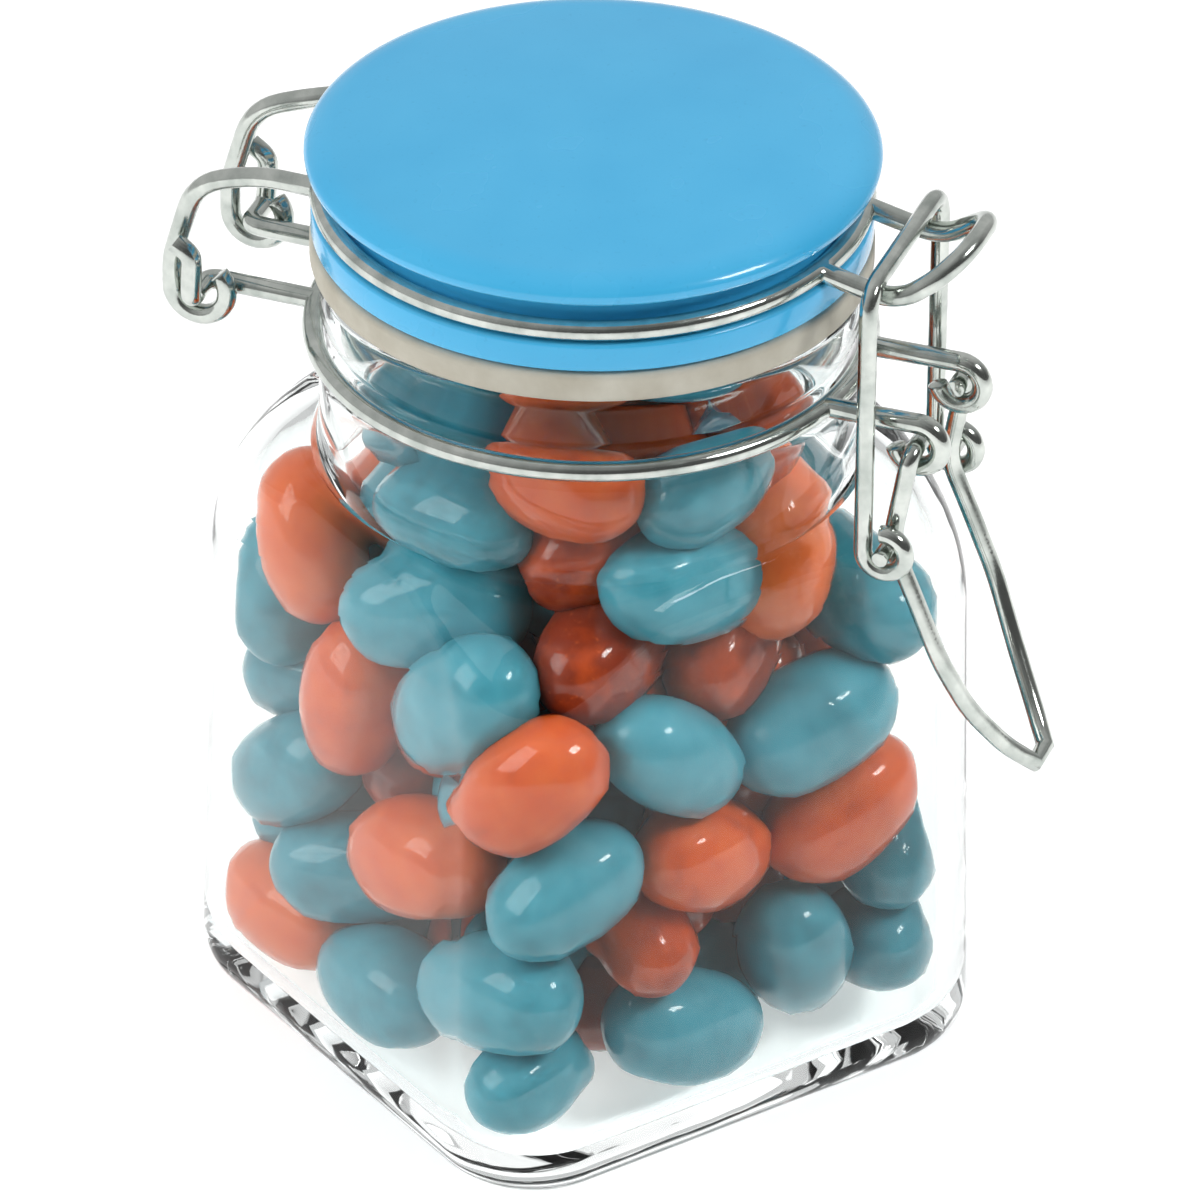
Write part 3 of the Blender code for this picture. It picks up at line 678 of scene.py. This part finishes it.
def lever():
    y, z = LEVER_PIVOT
    low_y, low_z = BAIL_PIVOT
    pin_end = CLASP_EYE_X - 1.4 * MM
    half = bent([(pin_end, y, z), (LEVER_X, y, z), (LEVER_X, low_y, low_z), (LEVER_X, -35.9 * MM, 60 * MM),
                 (LEVER_X, -38.6 * MM, 53.4 * MM), (6.6 * MM, -41.2 * MM, 47.4 * MM),
                 (4.0 * MM, -44.2 * MM, 42.4 * MM), (1.6 * MM, -46.3 * MM, 39.6 * MM)], 2.2 * MM)
    handle = wire("lever", half + list(reversed(mirrored(half))), CLASP_WIRE)
    end = BAIL_X + CLASP_WIRE / 2 + 0.5 * MM
    pin = [(LEVER_X, low_y, low_z), (end, low_y, low_z)]
    return fused("clasp_lever", [handle, *both_sides("pin", pin, STUB_WIRE)])


# Where the beans lie

def room(z):
    """Half width and corner radius of the space inside the glass at a height."""
    if z <= SIDE_TOP:
        rise = z / SIDE_TOP
        return BODY_HALF - WALL - 0.5 * MM * rise, BODY_CORNER - WALL + 0.8 * MM * rise
    lift = (z - SIDE_TOP) / shoulder_height(WALL)
    if lift >= 1:
        return BORE_RADIUS, BORE_RADIUS
    half, corner = shoulder_section(lift, WALL)
    return half, min(corner, half)


def body_frame(v, sign):
    c, s = math.cos(BODY_TURN), sign * math.sin(BODY_TURN)
    return np.array([c * v[0] - s * v[1], s * v[0] + c * v[1]])


def outward_push(point, clearance):
    """How far, and which way, a ball at a point reaches through the glass, seen in plan."""
    half, corner = room(point[2])
    p = body_frame(point, -1)
    q = np.abs(p) - (half - corner)
    over = np.maximum(q, 0)
    length = np.hypot(*over)
    depth = length + min(max(q[0], q[1]), 0) - corner + clearance
    way = over / length if length > 0 else np.array([float(q[0] >= q[1]), float(q[0] < q[1])])
    return depth, body_frame(way * np.sign(p), 1)


def bean_balls(place, axis, size):
    """Three balls that fill a bean: its middle and its two ends."""
    reach = size * (BEAN_LENGTH / 2 - END_INSET * BEAN_WIDTH)
    middle, end = size * MIDDLE_BALL * BEAN_DEPTH, size * END_BALL * BEAN_WIDTH
    return [(place, middle), (place + reach * axis, end), (place - reach * axis, end)]


def place_against_glass(angle, z, tilt, turn, inset):
    """The middle, long axis and outward way of a bean that lies against the glass or a little behind it."""
    ray = np.array([math.cos(angle), math.sin(angle)])
    near, far = 0.0, 2 * BODY_HALF
    for _ in range(30):
        middle = (near + far) / 2
        if outward_push(np.array([*(middle * ray), z]), BEAN_DEPTH / 2 + inset)[0] > 0:
            far = middle
        else:
            near = middle
    place = np.array([*(near * ray), z])
    out = np.array([*outward_push(place, 0)[1], 0.0])
    along = np.cross((0, 0, 1), out)
    axis = math.cos(tilt) * along + math.sin(tilt) * np.array([0, 0, 1.0])
    axis = math.cos(turn) * axis - math.sin(turn) * out
    return place, axis, out


def wall_beans():
    """All beans that show through the glass, with their colours."""
    draw = random.Random(BEAN_SEED)
    beans, looks = [], []
    for half_turn in (0, 1):
        for angle, z, tilt, turn, size, inset, colour, tone in WALL_BEANS:
            if half_turn and abs(angle) > CORNER_REACH:
                continue
            jitter = half_turn * draw.uniform(-9, 9)
            place, axis, out = place_against_glass(
                FRONT_CORNER + math.radians(angle) + half_turn * math.pi, (z + 0.15 * jitter) * MM,
                math.radians(tilt + 2 * jitter), math.radians(turn), inset * MM)
            beans.append([place, axis, out, size])
            looks.append((colour, tone))
    return beans, looks


def top_beans():
    """Beans on top of the heap."""
    draw = random.Random(BEAN_SEED + 1)
    beans = []
    for count, radius in ((6, 15.5 * MM), (2, 5 * MM)):
        for k in range(count):
            a = 2 * math.pi * (k + 0.3) / count
            place = np.array([radius * math.cos(a), radius * math.sin(a), TOP_BEAN_Z])
            turn = a + draw.uniform(0.8, 2.2)
            axis = np.array([math.cos(turn), math.sin(turn), draw.uniform(-0.3, 0.3)])
            axis = axis / np.linalg.norm(axis)
            beans.append([place, axis, np.array([0, 0, 1.0]), draw.uniform(0.94, 1.04)])
    colours = (ORANGE, BLUE, BLUE, ORANGE, ORANGE, ORANGE, BLUE, ORANGE)
    return beans, [(colour, draw.random()) for colour in colours]


def inner_beans():
    """A second layer, which shows in the gaps of the first, in deep tones that are painted shade."""
    draw = random.Random(BEAN_SEED + 2)
    beans, looks = [], []
    for layer in range(INNER_LAYERS):
        for k in range(LAYER_BEANS):
            a = 2 * math.pi * (k + 0.5 * layer + draw.uniform(-0.2, 0.2)) / LAYER_BEANS
            z = (LAYER_START + LAYER_STEP * layer + draw.uniform(-2, 2)) * MM
            reach = (14.5 - (layer > 4) * 1.5) * MM
            place = np.array([reach * math.cos(a), reach * math.sin(a), z])
            axis = np.array([draw.gauss(0, 1), draw.gauss(0, 1), draw.gauss(0, 0.7)])
            out = np.array([math.cos(a), math.sin(a), 0.05])
            beans.append([place, axis / np.linalg.norm(axis), out, draw.uniform(0.92, 1.02)])
            # Deep to middling tones only: painted shade on the beans deeper in the heap.
            looks.append((ORANGE if draw.random() < 0.5 else BLUE, draw.uniform(0.0, 0.4)))
    return beans, looks


def settle(beans, still, rounds):
    """Pushes the beans apart and inside the glass, a little at a time. The first ones may stay still."""
    home = [b[0].copy() for b in beans]
    lie = [b[1].copy() for b in beans]
    for _ in range(rounds):
        balls = [bean_balls(b[0], b[1], b[3]) for b in beans]
        centres = np.array([[c for c, _ in three] for three in balls])
        radii = np.array([[r for _, r in three] for three in balls])
        flat, flat_r = centres.reshape(-1, 3), radii.reshape(-1)
        gap = flat[:, None] - flat[None]
        far = np.linalg.norm(gap, axis=2) + 1e-9
        overlap = flat_r[:, None] + flat_r[None] - far
        owner = np.repeat(np.arange(len(beans)), 3)
        overlap[owner[:, None] == owner[None]] = 0
        push = (np.maximum(overlap, 0) / far)[:, :, None] * gap * 0.5
        force = push.sum(axis=1).reshape(-1, 3, 3)
        for k, b in enumerate(beans):
            if k < still:
                continue
            for j in range(3):
                depth, way = outward_push(centres[k, j], radii[k, j])
                if depth > 0:
                    force[k, j, :2] -= depth * way
                    if centres[k, j, 2] > SIDE_TOP:
                        force[k, j, 2] -= SHOULDER_PRESS * depth
                force[k, j, 2] += max(FLOOR + radii[k, j] - centres[k, j, 2], 0)
                force[k, j, 2] -= max(centres[k, j, 2] + radii[k, j] - HEAP_TOP, 0)
            b[0] = b[0] + PUSH_SHARE * force[k].mean(axis=0) + HOME_SHARE * (home[k] - b[0])
            spin = np.cross(centres[k, 1] - b[0], force[k, 1]) + np.cross(centres[k, 2] - b[0], force[k, 2])
            b[1] = b[1] + SPIN_SHARE * np.cross(spin, b[1]) / (0.25 * BEAN_LENGTH) ** 2
            b[1] = b[1] + HOME_SHARE * (lie[k] - b[1])
            b[1] = b[1] / np.linalg.norm(b[1])
    return beans


# The beans themselves

def bean_pattern():
    """One bean about the origin, its long axis along X: a ball drawn out, blunted and slightly bent."""
    begin()
    bpy.ops.mesh.primitive_uv_sphere_add(segments=24, ring_count=16, radius=0.5)
    obj = named("bean_pattern")
    bpy.ops.object.mode_set(mode="EDIT")
    bpy.ops.mesh.select_all(action="SELECT")
    bpy.ops.transform.rotate(value=math.pi / 2, orient_axis="Y", center_override=(0, 0, 0))
    bpy.ops.transform.resize(value=(BEAN_LENGTH, BEAN_WIDTH, BEAN_DEPTH), center_override=(0, 0, 0))
    begin()
    blunt = obj.modifiers.new("Blunt ends", "CAST")
    blunt.cast_type = "CUBOID"
    blunt.factor = BLUNT_SHARE
    bend = obj.modifiers.new("Slight bend", "SIMPLE_DEFORM")
    bend.deform_method = "BEND"
    bend.deform_axis = "Z"
    bend.angle = math.radians(BEAN_BEND)
    apply_modifiers(obj)
    size = obj.dimensions
    fit = (BEAN_LENGTH / size.x, BEAN_WIDTH / size.y, BEAN_DEPTH / size.z)
    bpy.ops.object.mode_set(mode="EDIT")
    bpy.ops.mesh.select_all(action="SELECT")
    bpy.ops.transform.resize(value=fit, center_override=(0, 0, 0))
    begin()
    obj.data.shade_smooth()
    return obj


def seat_shift(points):
    """How far a bean moves in until all of it is clear of the glass and of the floor."""
    shift = np.zeros(3)
    for _ in range(SEAT_ROUNDS):
        deepest, way = 0.0, np.zeros(2)
        for p in points + shift:
            depth, out = outward_push(p, SEAT_GAP)
            if depth > deepest:
                deepest, way = depth, out
        low = (points[:, 2] + shift[2]).min()
        shift += np.array([*(-deepest * way), max(FLOOR + SEAT_GAP - low, 0)])
    return shift


def heap(name, beans, pattern, material):
    """Copies of the pattern at each place, joined to one mesh, with a tone on each bean that is partly
    painted shade.
    """
    draw = random.Random(len(name))
    copies = []
    for (place, axis, out, size), tone_and_shade in beans:
        side = np.cross(axis, out)
        side = side / np.linalg.norm(side)
        flat_way = np.cross(axis, side)
        stretch = [size * draw.uniform(0.97, 1.03) for _ in range(3)]
        turn = Matrix((axis * stretch[0], side * stretch[1], flat_way * stretch[2])).transposed().to_4x4()
        select_only(pattern)
        bpy.ops.object.duplicate(linked=False)
        copy = bpy.context.object
        copy.data.transform(Matrix.Translation(place) @ turn)
        points = np.array([v.co for v in copy.data.vertices])
        copy.data.transform(Matrix.Translation(seat_shift(points)))
        # The tone is stored on every point of the bean; its deep values are painted shade.
        tone = copy.data.attributes.new("bean_tone", "FLOAT", "POINT")
        tone.data.foreach_set("value", np.full(len(points), tone_and_shade, np.float32))
        copies.append(copy)
    begin()
    for copy in copies:
        copy.select_set(True)
    bpy.context.view_layer.objects.active = copies[0]
    bpy.ops.object.join()
    obj = named(name)
    lumps = bpy.data.textures.new(name + "_lumps", "CLOUDS")
    lumps.noise_scale = SHELL_LUMPS
    push = obj.modifiers.new("Uneven shell", "DISPLACE")
    push.texture = lumps
    push.texture_coords = "LOCAL"
    push.strength = SHELL_RELIEF
    push.mid_level = 0.62
    apply_modifiers(obj)
    return dress(obj, material, "jar", "sugar_shell", "jelly_beans")


def heap_core():
    """The small lumpy core in the middle of the heap, a dark mass of painted shade."""
    begin()
    place = (0, 0, CORE_MIDDLE)
    bpy.ops.mesh.primitive_cylinder_add(vertices=32, radius=CORE_RADIUS, depth=CORE_HEIGHT, location=place)
    bpy.ops.object.transform_apply(location=True, rotation=True, scale=True)
    obj = named("heap_core")
    bpy.ops.object.mode_set(mode="EDIT")
    bpy.ops.mesh.select_all(action="SELECT")
    bpy.ops.mesh.subdivide(number_cuts=3)
    begin()
    bevel = obj.modifiers.new("Soft ends", "BEVEL")
    bevel.width = 3 * MM
    bevel.segments = 3
    bevel.limit_method = "ANGLE"
    lumps = bpy.data.textures.new("core_lumps", "CLOUDS")
    lumps.noise_scale = CORE_LUMPS
    push = obj.modifiers.new("Lumps", "DISPLACE")
    push.texture = lumps
    push.texture_coords = "LOCAL"
    push.strength = CORE_RELIEF
    apply_modifiers(obj)
    smooth(obj, 60)
    return dress(obj, painted_shade_beans(), "jar", "sugar_shell", "jelly_beans")


def jelly_beans():
    walls, wall_looks = wall_beans()
    tops, top_looks = top_beans()
    outer = settle(walls + tops, 0, OUTER_ROUNDS)
    inner, inner_looks = inner_beans()
    every = settle(outer + inner, len(outer), INNER_ROUNDS)
    looks = wall_looks + top_looks + inner_looks
    pattern = bean_pattern()
    blue = bean_shell("blue_shell", (0.09, 0.34, 0.42), (0.04, 0.24, 0.305), (0.015, 0.11, 0.145))
    orange = bean_shell("orange_shell", (0.7, 0.15, 0.035), (0.56, 0.075, 0.008), (0.2, 0.022, 0.004))
    for colour, material in ((BLUE, blue), (ORANGE, orange)):
        own = [(bean, tone) for bean, (shade, tone) in zip(every, looks) if shade == colour]
        heap(colour + "_beans", own, pattern, material)
    bpy.data.objects.remove(pattern)
    heap_core()


# Floor, light and camera

def floor():
    begin()
    bpy.ops.mesh.primitive_plane_add(size=6, location=(0, 0, -0.05 * MM))
    obj = named("floor")
    obj.data.materials.append(pale_floor())


def direction(azimuth, elevation):
    """The way towards something seen round the object: azimuth 0 is on the -Y side, 90 on the +X side."""
    a, e = math.radians(azimuth), math.radians(elevation)
    return Vector((math.sin(a) * math.cos(e), -math.cos(a) * math.cos(e), math.sin(e)))


def area_light(name, place, size, power, mirrored):
    """A soft light that faces the jar. It may be mirrored in the shiny surfaces or only light them."""
    data = bpy.data.lights.new(name, "AREA")
    data.shape = "RECTANGLE"
    data.size, data.size_y = size
    data.energy = power
    obj = bpy.data.objects.new(name, data)
    obj.location = AIM + place
    obj.rotation_euler = (-place).to_track_quat("-Z", "Y").to_euler()
    obj.visible_glossy = mirrored
    bpy.context.scene.collection.objects.link(obj)


def studio():
    """A bright room that is darker behind the camera, with a small window at its right and two soft fills."""
    world = bpy.data.worlds.new("studio")
    bpy.context.scene.world = world
    room_light = Nodes(world)
    way = room_light.add("ShaderNodeTexCoord", output="Generated")
    settings = {"operation": "DOT_PRODUCT"}
    values = {0: way, 1: tuple(direction(-30, -10))}
    facing = room_light.add("ShaderNodeVectorMath", settings, values, output="Value")
    patches = room_light.add("ShaderNodeTexNoise", {}, {"Vector": way, "Scale": 2.2, "Detail": 1.0})
    strength = room_light.span(facing + (patches - 0.5) * 0.7, -0.3, 0.7, BRIGHT_ROOM, DARK_ROOM)
    light = room_light.add("ShaderNodeBackground", {}, {"Color": (1, 1, 1), "Strength": strength})
    room_light.add("ShaderNodeOutputWorld", {}, {"Surface": light})
    area_light("window", 0.4 * direction(-6, 44), (0.11, 0.065), 0.55, mirrored=True)
    area_light("side_fill", 0.9 * direction(-135, 35), (0.6, 0.6), 3.4, mirrored=False)
    area_light("back_fill", 0.9 * direction(110, 60), (0.8, 0.8), 0.9, mirrored=False)


def camera():
    """The photograph's view: from the left of the clasp and above, through a long lens."""
    data = bpy.data.cameras.new("camera")
    data.sensor_width = SENSOR
    data.lens = SENSOR * PIXELS_PER_MM * CAMERA_DISTANCE / MM / PICTURE_WIDTH
    data.clip_end = 20
    obj = bpy.data.objects.new("camera", data)
    bpy.context.scene.collection.objects.link(obj)
    away = direction(CAMERA_AZIMUTH, CAMERA_ELEVATION)
    turn = (-away).to_track_quat("-Z", "Y").to_matrix()
    right, up = turn.col[0], turn.col[1]
    step_right = (PICTURE_WIDTH / 2 - AIM_PIXEL[0]) / PIXELS_PER_MM * MM
    step_up = (AIM_PIXEL[1] - PICTURE_WIDTH / 2) / PIXELS_PER_MM * MM
    obj.location = AIM + CAMERA_DISTANCE * away + step_right * right + step_up * up
    obj.rotation_euler = (Matrix.Rotation(CAMERA_ROLL, 3, -away) @ turn).to_euler()
    scene = bpy.context.scene
    scene.camera = obj
    scene.view_settings.view_transform = "Standard"
    scene.cycles.glossy_bounces = GLOSSY_BOUNCES


def main():
    bodies = (
        (glass, clear_glass(), "jar", "clear_glass", "glass_jar"),
        (lid, blue_glaze(), "lid", "glazed_blue", "lid"),
        (gasket, cream_rubber(), "lid", "cream_rubber", "gasket"),
    )
    for make, material, body, slot, node in bodies:
        dress(make(), material, body, slot, node)
    bpy.data.objects["glass_body"].visible_shadow = False
    steel = bright_steel()
    for make, body, node in ((lid_wire, "lid", "lid_wire"), (neck_wire, "jar", "neck_wire"),
                             (bail, "bail", "bail"), (lever, "lever", "lever")):
        dress(make(), steel, body, "steel_wire", node)
    jelly_beans()
    floor()
    studio()
    camera()


main()
